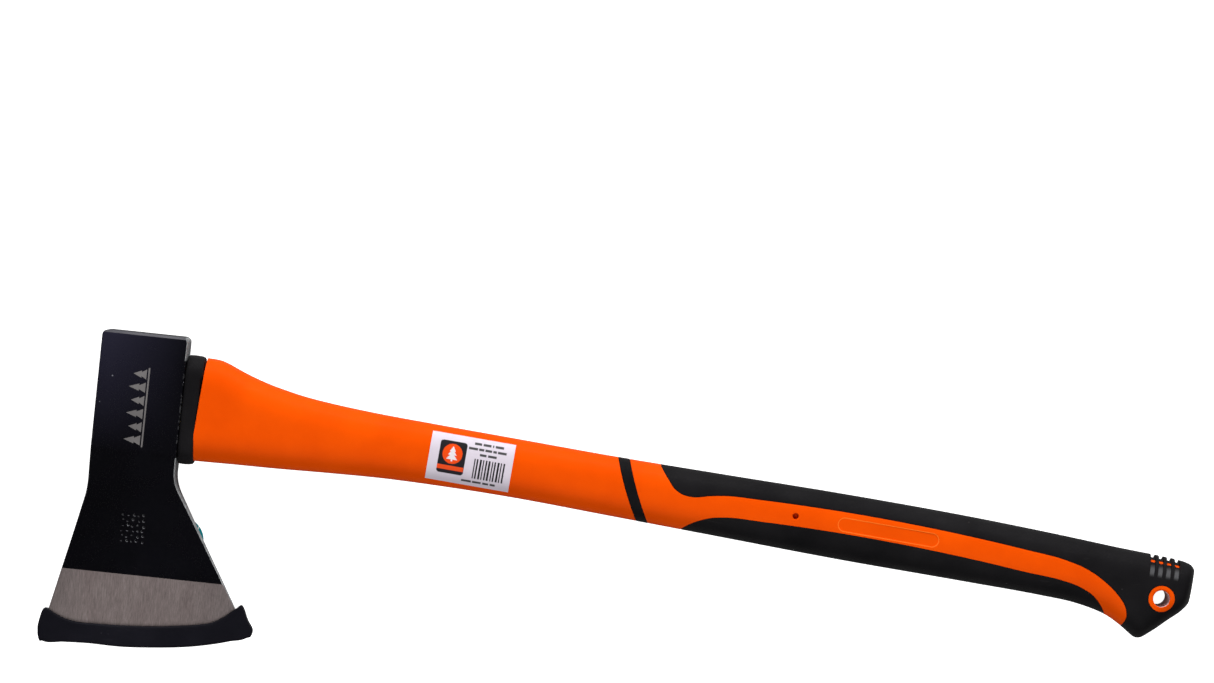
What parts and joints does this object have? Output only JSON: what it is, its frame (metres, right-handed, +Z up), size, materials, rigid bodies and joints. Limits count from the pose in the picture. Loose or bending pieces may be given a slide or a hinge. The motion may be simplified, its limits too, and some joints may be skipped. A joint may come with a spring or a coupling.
{
  "type": "felling axe",
  "caption": "Felling axe with a forged steel head bonded to a fibreglass-cored plastic handle with soft grips, and a slip-on guard over its cutting edge.",
  "frame": {"origin": "on the lower cheek of the head, straight below the centre of the eye", "axes": "+X along the eye towards the butt, +Y towards the poll with the cutting edge facing -Y, +Z up out of the upper cheek as the axe lies on its side"},
  "size_m": [0.722, 0.2004, 0.03],
  "materials": {
    "head_steel": "black lacquer, satin, over forged steel, with a bare ground bevel",
    "cured_resin": "cured resin, slightly uneven",
    "glass_fibre": "pultruded glass fibre, sawn at its toe end",
    "collar_rubber": "smooth moulded rubber, satin",
    "orange_plastic": "moulded plastic, satin",
    "band_rubber": "soft-touch rubber, matt",
    "grip_rubber": "soft-touch rubber, matt",
    "label_paper": "coated paper",
    "sticker_film": "printed film, satin",
    "guard_plastic": "moulded soft plastic, matt"
  },
  "bodies": {
    "axe": {"axe_head": "head_steel", "eye_bond": "cured_resin", "fibreglass_core": "glass_fibre", "eye_collar": "collar_rubber", "handle_jacket": "orange_plastic", "ring_band": "band_rubber", "grip_back": "grip_rubber", "grip_belly": "grip_rubber", "handle_label": "label_paper", "blade_sticker": "sticker_film"},
    "guard": {"blade_guard": "guard_plastic"}
  },
  "joints": [
    {"name": "guard_pull", "type": "slide", "parent": "axe", "child": "guard", "axis": [0.0997, -0.995, 0], "range_m": [0, 0.03]}
  ]
}
